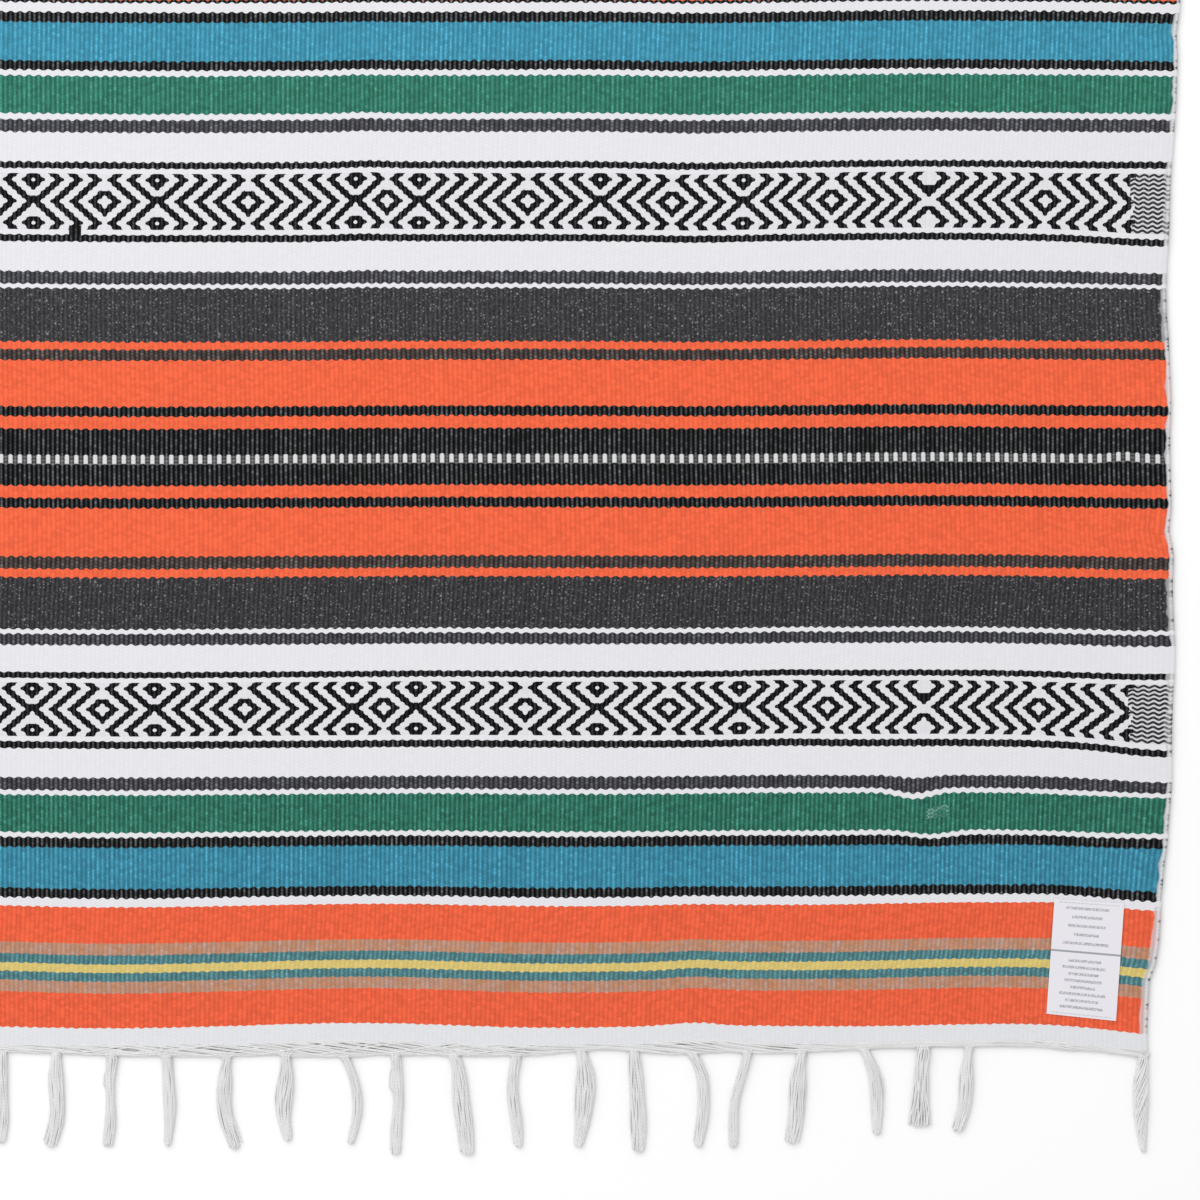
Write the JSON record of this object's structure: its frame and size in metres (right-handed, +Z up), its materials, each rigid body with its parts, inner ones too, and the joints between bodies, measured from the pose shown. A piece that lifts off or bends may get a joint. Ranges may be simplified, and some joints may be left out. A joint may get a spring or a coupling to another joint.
{
  "type": "mexican serape",
  "caption": "Flat striped weft-faced blanket with diamond twill bands, knotted fringe at both ends and a small sewn care label.",
  "frame": {"origin": "on the floor, in the middle of the serape lying flat", "axes": "+X across the width, along the stripes; +Y along the length, away from the end with the label; +Z up from the floor"},
  "size_m": [1.2698, 2.061, 0.0046],
  "materials": {
    "striped_weave": "ribbed weft-faced weave in stripes of orange, black, charcoal, white, green, blue, teal and yellow",
    "warp_yarn": "loose natural white cotton yarn, knotted",
    "label_tape": "smooth white satin tape"
  },
  "bodies": {
    "root": {"woven_cloth": "striped_weave", "fringe_near": "warp_yarn", "fringe_far": "warp_yarn", "care_label": "label_tape"}
  },
  "joints": []
}
